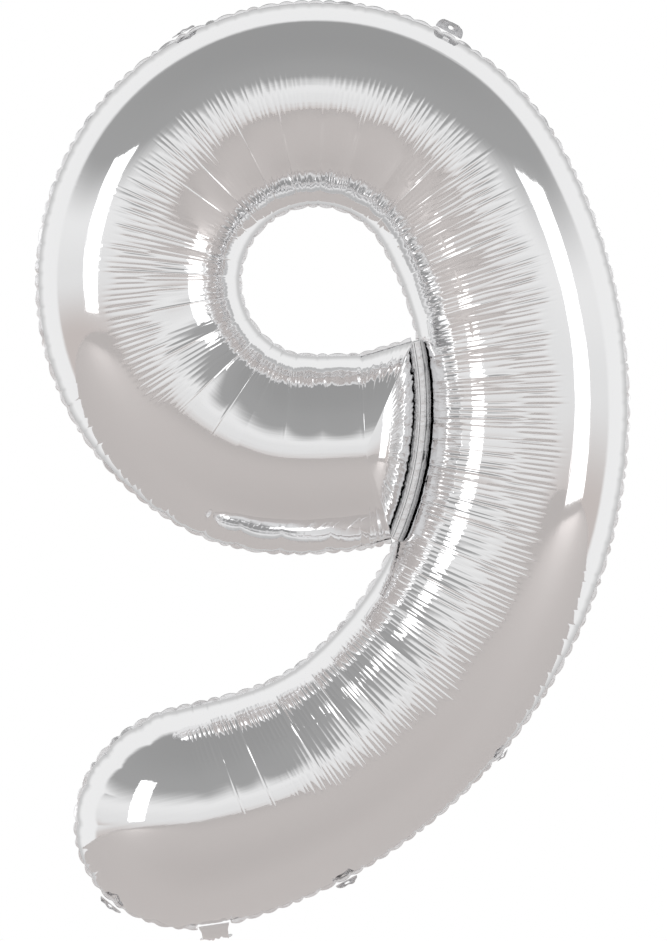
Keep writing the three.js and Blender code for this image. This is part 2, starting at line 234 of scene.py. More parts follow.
def seam_loop():
    """The seam line as a closed loop: outer side, tail cap, inner side and welded end. Each point has
    the station whose crest it belongs to, how far it counts as inner side, from 0 to 1, and its part."""
    stations = np.arange(STATIONS)
    outer = SPINE_AT + SPINE_OUT * SPINE_HALF[:, None]
    inner = (SPINE_AT - SPINE_OUT * SPINE_HALF[:, None])[::-1]
    turn = 90 - 180 * (np.arange(CAP_POINTS) + 1) / (CAP_POINTS + 1)
    weld_angle = np.linspace(WELD_TOP_ANGLE, WELD_BOTTOM_ANGLE, WELD_POINTS)
    weld = STEM_CENTRE + (STEM_INNER - WELD_WIDTH) * unit(weld_angle)
    share = (np.arange(CORNER_POINTS) + 1)[:, None] / (CORNER_POINTS + 1)
    end = np.concatenate([
        inner[-1] + share * (weld[0] - inner[-1]), weld, weld[-1] + share * (outer[0] - weld[-1])])
    last = np.full(CAP_POINTS, STATIONS - 1)
    first = np.zeros(len(end), int)
    point = np.concatenate([outer, cap_point(turn), inner, end])
    crest = np.concatenate([stations, last, stations[::-1], first])
    inward_at_end = 1 - smoothstep(np.arange(len(end)), len(end) - CORNER_POINTS, len(end))
    inward = np.concatenate([
        np.zeros(STATIONS), smoothstep(-turn, -90, 90), np.ones(STATIONS), inward_at_end])
    parts = [OUTER_SIDE, TAIL_CAP, INNER_SIDE, WELDED_END]
    part = np.repeat(parts, [STATIONS, CAP_POINTS, STATIONS, len(end)])
    return point, crest, inward, part


LOOP, LOOP_CREST, LOOP_INWARD, LOOP_PART = seam_loop()
LOOP_STEPS = np.linalg.norm(np.roll(LOOP, -1, axis=0) - LOOP, axis=1)
LOOP_EDGE = np.concatenate([[0], np.cumsum(LOOP_STEPS)[:-1]])  # distance along the seam line
FROM_NECK = np.abs(LOOP_EDGE - LOOP_EDGE[STATIONS - 1] - NECK_PAST_TAIL)
CLEAR_OF_NECK = smoothstep(FROM_NECK, MOUTH_WIDTH / 2 + 5 * MM, MOUTH_WIDTH / 2 + 18 * MM)


# ---------- relief of the skin ----------
EDGE_FOLDS = folds(LOOP_EDGE, 14.5 * MM, 0.5, 5)  # the scallops of the sealed edge
LONG_FOLDS = folds(LOOP_EDGE, 40 * MM, 0.4, 8)  # the pillows under the bowl and round the tail
FACET_HEIGHT = 1.25 * MM
CREASE_HEIGHT = 0.55 * MM
CREST_WRINKLE_HEIGHT = 0.58 * MM
EYE_WRINKLE_HEIGHT = 0.48 * MM
STEM_WRINKLE_HEIGHT = 0.5 * MM
RING_HEIGHT = 0.6 * MM
FINE_RIPPLE_HEIGHT = 0.3 * MM
BROAD_RIPPLE_HEIGHT = 0.7 * MM
PUCKER_DEPTH = 1.2 * MM
STREAK_HEIGHT = 0.2 * MM
WELD_CRUMPLE_HEIGHT = 0.5 * MM
PILLOW_HEIGHT = 2.8 * MM
SPIKE_DEPTH = 0.9 * MM


def wrinkles(run, across, spacing, jitter, low, high, soft, seed):
    """Wrinkles over a band of the tube whose two edges are ragged. Gives each point its wrinkle's
    number, and its height as a share of the wrinkle's own."""
    number, place, _ = folds(run, spacing, jitter, seed)
    band = window(across, ragged(number, *low, seed + 1), ragged(number, *high, seed + 2), soft)
    return number, band * (np.sin(np.pi * place) - 0.5)


def crest_relief(run, across, seed):
    """Facets, creases and wrinkles along the two sides of the tube."""
    bowl_part = window(run, run_of_bowl(205), JOIN_RUN, 70 * MM)
    stem_part = window(run, JOIN_RUN, run_of_stem(-56), 60 * MM)
    tail_part = window(run, run_of_stem(-30), run_of_stem(-72), 40 * MM)

    # facets between straight creases, on the side of the tube towards the eye
    number, place, from_end = folds(run, 44 * MM, 0.55, seed)
    facet_band = window(across, -0.78, -0.32, 0.2)
    reach_out = ragged(number, -0.12, 0.06, seed + 1)
    hollow = 4 * place * (1 - place) * ragged(number, 0.6, 1.2, seed + 2)
    lean = (place - 0.5) * ragged(number, -0.7, 0.7, seed + 4)
    height = -FACET_HEIGHT * facet_band * (hollow + lean)
    calm = 1 - 0.8 * smoothstep(-run, -run_of_bowl(215), 0)
    crease_band = window(across, -0.84, reach_out, 0.06) * calm
    crease = np.exp(-((from_end / (0.8 * MM)) ** 2)) - 0.5 * np.exp(-((from_end / (2.2 * MM)) ** 2))
    height += CREASE_HEIGHT * crease_band * crease * ragged(number, 0.4, 1.0, seed + 3)

    # fine wrinkles over the crest, each with its own length
    number, wave = wrinkles(run, across, 4.7 * MM, 0.6, (-0.2, 0.0), (0.15, 0.32), 0.04, seed + 10)
    strength = ragged(number, 0.3, 1.0, seed + 13) * np.maximum(bowl_part, 0.8 * stem_part)
    height += CREST_WRINKLE_HEIGHT * strength * wave

    # a softer second set nearer the eye, in patches
    number, wave = wrinkles(run, across, 5.6 * MM, 0.6, (-0.62, -0.35), (-0.2, -0.08), 0.07, seed + 20)
    patch = smoothstep(noise(run / (38 * MM), seed + 23), -0.1, 0.5)
    strength = ragged(number, 0.2, 1.0, seed + 24) * np.maximum(patch * bowl_part, stem_part)
    height += EYE_WRINKLE_HEIGHT * strength * wave

    # short wrinkles near the stem's concave edge
    number, wave = wrinkles(run, across, 5.2 * MM, 0.5, (-0.86, -0.74), (-0.62, -0.48), 0.04, seed + 30)
    strength = ragged(number, 0.4, 1.0, seed + 33) * np.maximum(stem_part, tail_part)
    return height + STEM_WRINKLE_HEIGHT * strength * wave


def relief(run, across, slope, part, edge, edge_fold, seed):
    """Height of the film over the smooth tube. Run is the distance along the crest, across is -1 at the
    inner seam, 0 at the crest and 1 at the outer seam, and slope is the angle down from the crest. Edge
    is the distance along the seam line, and edge_fold the scallop there."""
    before_cap = 1 - smoothstep(run, SPINE_RUN[-1] - 22 * MM, SPINE_RUN[-1])
    sides = ((part == OUTER_SIDE) | (part == INNER_SIDE)) * before_cap
    height = sides * crest_relief(run, across, seed)

    # the crumpled ring round the eye
    ring = window(across, -0.81, -0.68, 0.02) * window(run, 30 * MM, run_of_stem(-30), 60 * MM)
    height += sides * RING_HEIGHT * ring * noise2(run / (2.1 * MM), slope / 4, seed + 40)

    # ripples: fine ones along the smooth outer half and broad ones all over
    outer_half = smoothstep(across, 0.2, 0.45)
    height += FINE_RIPPLE_HEIGHT * outer_half * noise2(run / (85 * MM), across * 7, seed + 50)
    broad = noise2(run / (120 * MM), across * 2.2, seed + 51)
    height += BROAD_RIPPLE_HEIGHT * broad * (1 - across**2)

    # puckers reaching in from the edge
    number, _, from_end = edge_fold
    under_bowl = window(run, 0, run_of_bowl(195), 60 * MM)
    low_side = np.maximum(under_bowl, smoothstep(run, run_of_stem(-45), run_of_stem(-70)))
    pucker = np.exp(-((from_end / (1.0 * MM)) ** 2)) * ragged(number, 0.0, 1.0, seed + 60) ** 2
    reach = ragged(number, 50, 74, seed + 61)
    rim = smoothstep(slope, reach, 84) * (part != WELDED_END) * (0.35 + 0.65 * low_side)
    height -= PUCKER_DEPTH * pucker * rim

    # streaks and crumples beside the weld
    streaks = noise2(slope / 5.5, edge / (9 * MM), seed + 70) * window(slope, 40, 84, 10)
    crumple = noise2(edge / (2.3 * MM), slope / 6, seed + 72) * window(slope, 38, 82, 8)
    height += (part == WELDED_END) * (STREAK_HEIGHT * streaks + WELD_CRUMPLE_HEIGHT * crumple)

    # long pillows under the bowl and round the tail cap
    place = LONG_FOLDS[1]
    bowl_edge = 1 - smoothstep(run, run_of_bowl(235), run_of_bowl(222))
    low_edge = (part == TAIL_CAP) + (part == OUTER_SIDE) * bowl_edge
    pillow = np.sqrt(np.clip(4 * place * (1 - place), 0, 1)) - 0.75
    height += PILLOW_HEIGHT * pillow * low_edge * smoothstep(slope, 46, 80)

    # beside the neck the film lies back, gathered in spikes
    at_neck = 1 - CLEAR_OF_NECK
    height *= 1 - at_neck * smoothstep(slope, 30, 60)
    spikes = np.abs(noise(edge / (2.4 * MM), seed + 80))
    reach = 52 + 16 * noise(edge / (3 * MM), seed + 81)
    height -= SPIKE_DEPTH * at_neck * spikes * smoothstep(slope, reach, reach + 26)
    return height


def edge_swell():
    """How far the film bulges past the seam line between two puckers."""
    number, place, _ = EDGE_FOLDS
    bulge = np.sqrt(np.clip(4 * place * (1 - place), 0, 1)) * ragged(number, 0.5, 1.0, 6)
    outer = 1.5 * MM + 1.1 * MM * bulge
    inner = 1.9 * MM * (LOOP_PART == INNER_SIDE)
    return np.where((LOOP_PART == OUTER_SIDE) | (LOOP_PART == TAIL_CAP), outer, inner)


EDGE_SWELL = edge_swell()


def skin_points(slope, inset, facing, seed, wrinkled):
    """Rings of points from the crest to the seam line, each as (ring, loop point, xyz), and how far
    across the tube each lies. Slope holds every point's angle down from the crest."""
    middle = SPINE_AT[LOOP_CREST]
    reach = LOOP - middle
    length = np.linalg.norm(reach, axis=1, keepdims=True)
    towards = reach / length
    rise = (DEPTH_RATIO * SPINE_HALF[LOOP_CREST] - inset)[:, None]
    across = np.sin(np.radians(slope))
    flat = middle[None] + towards[None] * ((length[None] - inset) * across[..., None])
    depth = rise[None] * np.cos(np.radians(slope))[..., None] + GAP / 2
    inwards = 1 - 2 * LOOP_INWARD[None]
    normal_flat = towards[None] * (rise[None] * across[..., None])
    normal_depth = length[None] * np.cos(np.radians(slope))[..., None]
    size = np.sqrt((normal_flat**2).sum(-1, keepdims=True) + normal_depth**2)
    if wrinkled:
        shape = slope.shape
        run = np.broadcast_to(SPINE_RUN[LOOP_CREST], shape)
        part = np.broadcast_to(LOOP_PART, shape)
        edge = np.broadcast_to(LOOP_EDGE, shape)
        edge_fold = tuple(np.broadcast_to(a, shape) for a in EDGE_FOLDS)
        height = relief(run, across * inwards, slope, part, edge, edge_fold, seed)[..., None]
        swell = (EDGE_SWELL * CLEAR_OF_NECK)[None, :, None] * smoothstep(slope, 60, 90)[..., None]
        height = height + swell
        flat = flat + normal_flat / size * height
        depth = depth + normal_depth / size * height
    y = facing * np.maximum(depth, GAP / 2)
    return np.concatenate([flat[..., :1], y, flat[..., 1:]], axis=-1), across * inwards


# ---------- meshes ----------
def make_object(name, points, faces, material, body, replaced, uv=None):
    """A smooth mesh that rides on a body and takes the place of its CAD nodes."""
    mesh = bpy.data.meshes.new(name)
    mesh.from_pydata(points.tolist(), [], faces)
    if uv is not None:
        layer = mesh.uv_layers.new(name="along_and_across")
        corners = np.empty(len(mesh.loops), np.int32)
        mesh.loops.foreach_get("vertex_index", corners)
        layer.data.foreach_set("uv", uv[corners].astype(np.float32).ravel())
    mesh.polygons.foreach_set("use_smooth", np.ones(len(mesh.polygons), bool))
    mesh.materials.append(material)
    mesh.update()
    piece = bpy.data.objects.new(name, mesh)
    bpy.context.scene.collection.objects.link(piece)
    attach(piece, body)
    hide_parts(*replaced)


def skin_faces(rings, start, turned):
    """Triangles and quads of one skin whose crest row comes first and then its rings."""
    count = len(LOOP)
    i = np.arange(count)
    j = (i + 1) % count
    crest_i, crest_j = start + LOOP_CREST[i], start + LOOP_CREST[j]
    ring = lambda k: start + STATIONS + (k - 1) * count
    flip = (lambda f: f[:, ::-1]) if turned else (lambda f: f)
    faces = []
    same = crest_i == crest_j
    fan = np.stack([crest_i, ring(1) + i, ring(1) + j], axis=1)[same]
    strip = np.stack([crest_i, ring(1) + i, ring(1) + j, crest_j], axis=1)[~same]
    faces += flip(fan).tolist() + flip(strip).tolist()
    for k in range(1, rings):
        quads = np.stack([ring(k) + i, ring(k + 1) + i, ring(k + 1) + j, ring(k) + j], axis=1)
        faces += flip(quads).tolist()
    return faces


def skin_rows(slope, inset, facing, seed, wrinkled):
    """One skin as a list of points, the crest row first and then its rings, with its UVs."""
    points, across = skin_points(slope, inset, facing, seed, wrinkled)
    crest = points[0][:STATIONS]
    rows = np.concatenate([crest, points[1:].reshape(-1, 3)])
    run = SPINE_RUN[LOOP_CREST]
    uv_run = np.concatenate([SPINE_RUN, np.tile(run, len(slope) - 1)])
    uv_across = np.concatenate([np.zeros(STATIONS), across[1:].ravel()])
    return rows, np.stack([uv_run, uv_across * 0.5 + 0.5], axis=1)


def panel(name, facing, material, seed):
    """One film panel: the wrinkled skin, a plain lining inside it, and a rim that joins the two."""
    outer, inner = np.array(OUTER_SLOPES, float), np.array(INNER_SLOPES, float)
    slopes = outer[:, None] * (1 - LOOP_INWARD) + inner[:, None] * LOOP_INWARD
    lining = np.repeat(np.array(LINING_SLOPES, float)[:, None], len(LOOP), axis=1)
    outside, outside_uv = skin_rows(slopes, 0, facing, seed, True)
    inside, inside_uv = skin_rows(lining, LINING_INSET, facing, seed, False)
    points = np.concatenate([outside, inside])
    faces = skin_faces(len(outer) - 1, 0, facing < 0)
    faces += skin_faces(len(LINING_SLOPES) - 1, len(outside), facing > 0)
    count = len(LOOP)
    i = np.arange(count)
    j = (i + 1) % count
    rim_out, rim_in = len(outside) - count, len(points) - count
    rim = np.stack([rim_out + i, rim_in + i, rim_in + j, rim_out + j], axis=1)
    faces += (rim[:, ::-1] if facing < 0 else rim).tolist()
    uv = np.concatenate([outside_uv, inside_uv])
    make_object(name + "_skin", points, faces, material, "balloon", [name], uv=uv)


# ---------- materials ----------
def shader(name):
    """A new material, its node tree and its surface shader."""
    material = bpy.data.materials.new(name)
    material.use_nodes = True
    tree = material.node_tree
    return material, tree, tree.nodes["Principled BSDF"]


def add(tree, kind, **settings):
    """Adds a shader node and sets its inputs and properties by name."""
    node = tree.nodes.new("ShaderNode" + kind)
    for key, value in settings.items():
        if key in node.inputs.keys():
            node.inputs[key].default_value = value
        else:
            setattr(node, key, value)
    return node


def foil_material():
    """Mirror film: a fine grain in its gloss, and hair-fine ripples along the tube."""
    material, tree, surface = shader("silver_foil")
    surface.inputs["Base Color"].default_value = (0.9, 0.9, 0.905, 1)
    surface.inputs["Metallic"].default_value = 1
    along = add(tree, "UVMap", uv_map="along_and_across")
    stretched = add(tree, "Mapping")
    stretched.inputs["Scale"].default_value = (9, 26, 1)
    ripple = add(tree, "TexNoise", Scale=1.0, Detail=3.0)
    place = add(tree, "TexCoord")
    grain = add(tree, "TexNoise", Scale=420.0, Detail=2.0)
    gloss = add(tree, "MapRange")
    gloss.inputs["To Min"].default_value = 0.02
    gloss.inputs["To Max"].default_value = 0.075
    bump = add(tree, "Bump", Strength=0.16, Distance=0.6 * MM)
    link = tree.links.new
    link(along.outputs["UV"], stretched.inputs["Vector"])
    link(stretched.outputs["Vector"], ripple.inputs["Vector"])
    link(place.outputs["Object"], grain.inputs["Vector"])
    link(grain.outputs["Fac"], gloss.inputs["Value"])
    link(gloss.outputs["Result"], surface.inputs["Roughness"])
    link(ripple.outputs["Fac"], bump.inputs["Height"])
    link(bump.outputs["Normal"], surface.inputs["Normal"])
    return material


def sealed_material():
    """Heat-sealed film: the fine waffle that the sealing bars press into it."""
    material, tree, surface = shader("sealed_foil")
    surface.inputs["Base Color"].default_value = (0.92, 0.92, 0.93, 1)
    surface.inputs["Metallic"].default_value = 1
    place = add(tree, "TexCoord")
    waffle = add(tree, "TexVoronoi", Scale=900.0)
    crinkle = add(tree, "TexNoise", Scale=160.0, Detail=3.0)
    gloss = add(tree, "MapRange")
    gloss.inputs["To Min"].default_value = 0.14
    gloss.inputs["To Max"].default_value = 0.34
    bump = add(tree, "Bump", Strength=0.3, Distance=0.2 * MM)
    link = tree.links.new
    link(place.outputs["Object"], waffle.inputs["Vector"])
    link(place.outputs["Object"], crinkle.inputs["Vector"])
    link(crinkle.outputs["Fac"], gloss.inputs["Value"])
    link(gloss.outputs["Result"], surface.inputs["Roughness"])
    link(waffle.outputs["Distance"], bump.inputs["Height"])
    link(bump.outputs["Normal"], surface.inputs["Normal"])
    return material


def valve_material():
    """Thin cloudy plastic film."""
    material, tree, surface = shader("valve_film")
    surface.inputs["Base Color"].default_value = (0.88, 0.89, 0.9, 1)
    surface.inputs["Transmission Weight"].default_value = 0.5
    place = add(tree, "TexCoord")
    cloud = add(tree, "TexNoise", Scale=60.0, Detail=4.0)
    gloss = add(tree, "MapRange")
    gloss.inputs["To Min"].default_value = 0.25
    gloss.inputs["To Max"].default_value = 0.45
    link = tree.links.new
    link(place.outputs["Object"], cloud.inputs["Vector"])
    link(cloud.outputs["Fac"], gloss.inputs["Value"])
    link(gloss.outputs["Result"], surface.inputs["Roughness"])
    return material


# ---------- studio ----------
GREY = lambda value: (value, value, value)
LOW_WALL = (0.6, 0.55, 0.53)
WALL_TONES = ((0.0, LOW_WALL), (0.4, LOW_WALL), (0.52, GREY(0.82)), (0.62, GREY(0.88)),
              (0.76, GREY(0.38)), (1.0, GREY(0.34)))  # from straight down to straight up
# the backdrop is pale, then darkens to grey straight behind the balloon: painted shade of the back wall
BACKDROP_AND_SHADE_TONES = ((0.5, GREY(0.92)), (0.85, GREY(0.92)), (0.95, GREY(0.62)), (1.0, GREY(0.55)))
BACKDROP_START = 0.24  # how far a direction points away from the camera where the backdrop begins
BACKDROP_SOFTNESS = 0.12


def half_plus_half(tree, value):
    """Turns a value from -1 to 1 into one from 0 to 1."""
    node = add(tree, "Math", operation="MULTIPLY_ADD")
    tree.links.new(value, node.inputs[0])
    node.inputs[1].default_value = 0.5
    node.inputs[2].default_value = 0.5
    return node.outputs[0]


def gradient(tree, value, stops):
    """A smooth ramp of greys and colours over a value from 0 to 1."""
    node = add(tree, "ValToRGB")
    node.color_ramp.interpolation = "EASE"
    elements = node.color_ramp.elements
    while len(elements) > 1:
        elements.remove(elements[0])
    for i, (place, colour) in enumerate(stops):
        element = elements[0] if i == 0 else elements.new(place)
        element.position = place
        element.color = (*colour, 1)
    tree.links.new(value, node.inputs["Fac"])
    return node.outputs["Color"]


def studio():
    """A plain studio: walls whose tone passes softly from low to high, and a pale backdrop behind the
    balloon, darkened to grey straight behind it as painted shade. The foil reflects them, and the camera
    itself sees plain white."""
    world = bpy.data.worlds.new("studio")
    bpy.context.scene.world = world
    world.use_nodes = True
    tree = world.node_tree
    tree.nodes.clear()
    direction = add(tree, "TexCoord").outputs["Generated"]
    axes = add(tree, "SeparateXYZ")
    tree.links.new(direction, axes.inputs[0])
    _, y, z = axes.outputs
    walls = gradient(tree, half_plus_half(tree, z), WALL_TONES)
    backdrop = gradient(tree, half_plus_half(tree, y), BACKDROP_AND_SHADE_TONES)
    share = add(tree, "MapRange", interpolation_type="SMOOTHSTEP")
    share.inputs["From Min"].default_value = BACKDROP_START
    share.inputs["From Max"].default_value = BACKDROP_START + BACKDROP_SOFTNESS
    tree.links.new(y, share.inputs["Value"])
    mix = add(tree, "Mix", data_type="RGBA")
    tree.links.new(share.outputs["Result"], mix.inputs[0])
    tree.links.new(walls, mix.inputs[6])
    tree.links.new(backdrop, mix.inputs[7])
    reflected = add(tree, "Background")
    plain = add(tree, "Background")
    plain.inputs["Color"].default_value = (1, 1, 1, 1)
    path = add(tree, "LightPath")
    either = add(tree, "MixShader")
    out = tree.nodes.new("ShaderNodeOutputWorld")
    tree.links.new(mix.outputs[2], reflected.inputs["Color"])
    tree.links.new(path.outputs["Is Camera Ray"], either.inputs[0])
    tree.links.new(reflected.outputs[0], either.inputs[1])
    tree.links.new(plain.outputs[0], either.inputs[2])
    tree.links.new(either.outputs[0], out.inputs["Surface"])


FLOOR_RADIUS = 4.6
FLOOR_SHIFT = 3.1  # its middle, towards the camera
FLOOR_DROP = 0.35  # from the tail down to it


def floor():
    """A plain pale disc below the balloon."""
    mesh = bpy.data.meshes.new("floor")
    angles = np.linspace(0, 2 * np.pi, 96, endpoint=False)
    x, y = FLOOR_RADIUS * np.cos(angles), FLOOR_RADIUS * np.sin(angles) - FLOOR_SHIFT
    points = np.stack([x, y, np.full(len(angles), cad_box[0][2] - FLOOR_DROP)], axis=1).tolist()
    mesh.from_pydata(points, [], [list(range(len(points)))])
    material, tree, surface = shader("floor_paint")
    surface.inputs["Base Color"].default_value = (0.92, 0.86, 0.835, 1)
    surface.inputs["Roughness"].default_value = 0.7
    mesh.materials.append(material)
    disc = bpy.data.objects.new("floor", mesh)
    bpy.context.scene.collection.objects.link(disc)


SOFTBOX_AIM = (0, 0, -0.4)
SOFTBOX_HEIGHT = 2.6
SOFTBOX_WATTS = 12


def softbox(name, place, width):
    """A tall soft lamp that faces the balloon."""
    light = bpy.data.lights.new(name, "AREA")
    light.shape = "RECTANGLE"
    light.size = width
    light.size_y = SOFTBOX_HEIGHT
    light.energy = SOFTBOX_WATTS
    holder = bpy.data.objects.new(name, light)
    holder.location = place
    direction = Vector(SOFTBOX_AIM) - Vector(place)
    holder.rotation_euler = direction.to_track_quat("-Z", "Y").to_euler()
    bpy.context.scene.collection.objects.link(holder)


CAMERA_DISTANCE = 6.0
SENSOR_HEIGHT = 24.0  # millimetres, as Blender takes it
FRAME_SIDE_SHIFT = 0.0164  # middle of the picture, to the right of the origin
FRAME_HEIGHT = 0.8827  # what the picture takes in at the balloon


def camera():
    """Level with the middle of the balloon, straight in front of it."""
    data = bpy.data.cameras.new("camera")
    data.sensor_fit = "VERTICAL"
    data.sensor_height = SENSOR_HEIGHT
    data.lens = SENSOR_HEIGHT * CAMERA_DISTANCE / FRAME_HEIGHT
    holder = bpy.data.objects.new("camera", data)
    middle = (cad_box[0][2] + cad_box[1][2]) / 2
    holder.location = (FRAME_SIDE_SHIFT, -CAMERA_DISTANCE, middle)
    holder.rotation_euler = (math.radians(90), 0, 0)
    bpy.context.scene.collection.objects.link(holder)
    bpy.context.scene.camera = holder


# ---------- sealed edges ----------
FLANGE_FILM = 0.35 * MM
FLANGE_COLUMNS = (-0.08, 0.15, 0.4, 0.65, 0.85, 1.0)  # shares of the band's width
OUTER_CURL = 1.7 * MM  # how far the band's free edge curls out of the seam plane
HOLE_CURL = 0.3 * MM
PATH_END = 2 * STATIONS + CAP_POINTS + CORNER_POINTS + 1
PATH = np.concatenate([LOOP[-CORNER_POINTS - 1:], LOOP[:PATH_END]])  # the seam line without the weld
PATH_START = CORNER_POINTS + 1  # where the outer side starts on the path
PATH_RUN = np.concatenate([[0], np.cumsum(np.linalg.norm(np.diff(PATH, axis=0), axis=1))])
TAIL_RUN = PATH_RUN[PATH_START + STATIONS - 1]
NECK_RUN = TAIL_RUN + NECK_PAST_TAIL


def angle_about_stem(points):
    offset = points - STEM_CENTRE
    return np.degrees(np.arctan2(offset[:, 1], offset[:, 0]))


def inner_run(angle):
    """Where the inner side of the stem passes an angle about the stem's centre."""
    start = PATH_START + STATIONS + CAP_POINTS
    return PATH_RUN[start + np.argmax(angle_about_stem(PATH[start:]) >= angle)]


def grid_quads(at):
    """Quads over a grid of point numbers."""
    return np.stack([at[:-1, :-1], at[1:, :-1], at[1:, 1:], at[:-1, 1:]], axis=-1).reshape(-1, 4)


def rim_quads(a, b):
    """Quads between two rows of point numbers."""
    return np.stack([a[:-1], b[:-1], b[1:], a[1:]], axis=1)


def solid_grid(rows, columns, front, back):
    """A closed sheet from two grids of points, front and back, each (rows, columns, 3)."""
    points = np.concatenate([front.reshape(-1, 3), back.reshape(-1, 3)])
    at = np.arange(rows * columns).reshape(rows, columns)
    under = at + rows * columns
    faces = [grid_quads(at), grid_quads(under)[:, ::-1]]
    faces += [rim_quads(at[:, 0], under[:, 0]), rim_quads(under[:, -1], at[:, -1])]
    faces += [rim_quads(under[0], at[0]), rim_quads(at[-1], under[-1])]
    return points, np.concatenate(faces).tolist()


def sealed_edge(name, start, end, wide, curl, seed):
    """The sealed band outside a stretch of the seam line, gathered at each pucker and curled between
    two. Start and end are distances along the path."""
    chosen = np.flatnonzero((PATH_RUN > start) & (PATH_RUN < end))[::2]
    line, run = PATH[chosen], PATH_RUN[chosen]
    along = np.gradient(line, axis=0)
    along /= np.linalg.norm(along, axis=1, keepdims=True)
    out = np.stack([-along[:, 1], along[:, 0]], axis=1)
    loop_point = (chosen - PATH_START) % len(LOOP)
    number, place = EDGE_FOLDS[0][loop_point], EDGE_FOLDS[1][loop_point]
    arch = np.sin(np.pi * place)
    width = wide * (0.5 + 0.5 * arch ** 0.7)
    side = np.where(ragged(number, 0, 1, seed) > 0.35, 1.0, -0.6)
    lift = curl * side * arch * ragged(number, 0.1, 1.0, seed + 1) ** 3 * clear_of_tabs(line)
    share = np.array(FLANGE_COLUMNS)
    flat = line[:, None] + out[:, None] * (width[:, None] * share[None])[..., None]
    depth = lift[:, None] * np.clip(share, 0, 1)[None] ** 2
    depth += 0.12 * MM * noise2(run[:, None] / (3 * MM), share[None] * 3, seed + 2)
    front = np.stack([flat[..., 0], depth - FLANGE_FILM / 2, flat[..., 1]], axis=-1)
    back = front + np.array([0, FLANGE_FILM, 0])
    points, faces = solid_grid(len(line), len(share), front, back)
    make_object(name + "_band", points, faces, sealed, "balloon", [name])


def clear_of_tabs(line):
    """0 beside a tab's root, where the edge lies flat, and 1 away from it."""
    clear = np.ones(len(line))
    for _, arc, angle, width, _, _ in TABS:
        at, _ = tab_root(arc, angle)
        distance = np.linalg.norm(line - at, axis=1)
        clear *= smoothstep(distance, width / 2, width / 2 + 8 * MM)
    return clear


def weld():
    """The ribbed seal that closes the end of the bowl against the stem."""
    angle = np.linspace(WELD_BOTTOM_ANGLE, WELD_TOP_ANGLE, 150)
    share = np.linspace(0, 1, 8)
    low, high = STEM_INNER - WELD_WIDTH + GAP, STEM_INNER - GAP
    radius = low + (high - low) * share
    flat = STEM_CENTRE + radius[None, :, None] * unit(angle)[:, None]
    rib = 0.16 * MM * noise2(angle[:, None] * 3, share[None] * 2, 301) * np.sin(np.pi * share)[None]
    front = np.stack([flat[..., 0], rib - FLANGE_FILM / 2, flat[..., 1]], axis=-1)
    back = front + np.array([0, FLANGE_FILM, 0])
    points, faces = solid_grid(len(angle), len(share), front, back)
    make_object("bowl_weld_strip", points, faces, sealed, "balloon", ["bowl_weld"])


# ---------- hanging tabs ----------
def tab_root(arc, angle):
    """Where a tab is rooted on the edge of the seam, and which way is outward there."""
    if arc == "bowl":
        return BOWL_CENTRE + TAB_RADIUS * unit(angle), unit(angle)
    if arc == "stem":
        return STEM_CENTRE + (STEM_OUTER + SEAM_WIDTH + TAB_ROOT_GAP) * unit(angle), unit(angle)
    turn = math.radians(angle)
    along = CAP_LENGTH * math.sin(turn) * unit(TAIL_ANGLE - 90)
    along = along - TAIL_HALF_WIDTH * math.cos(turn) * unit(TAIL_ANGLE)
    out = np.array([-along[1], along[0]]) / np.linalg.norm(along)
    return cap_point(angle) + (SEAM_WIDTH + CORNER_TAB_ROOT_GAP) * out, out


def arch_curve(start, handle, end, count):
    """Points along a bend with one handle, without its last point."""
    t = np.linspace(0, 1, count, endpoint=False)[:, None]
    return (1 - t) ** 2 * np.array(start) + 2 * t * (1 - t) * np.array(handle) + t**2 * np.array(end)


def straight(start, end, count):
    """Points along a straight line, without its last point."""
    t = np.linspace(0, 1, count, endpoint=False)[:, None]
    return (1 - t) * np.array(start) + t * np.array(end)


def tab_outline(width, height):
    """A tab's outline: a straight root, and a straight top between round shoulders."""
    half, shoulder = width / 2, width / 2 - height * TAB_SHOULDER
    return np.concatenate([
        straight((-half, 0), (half, 0), 40),
        arch_curve((half, 0), (half, height), (shoulder, height), 26),
        straight((shoulder, height), (-shoulder, height), 20),
        arch_curve((-shoulder, height), (-half, height), (-half, 0), 26),
    ])


TAB_FILM = 0.4 * MM
TAB_RINGS = 14


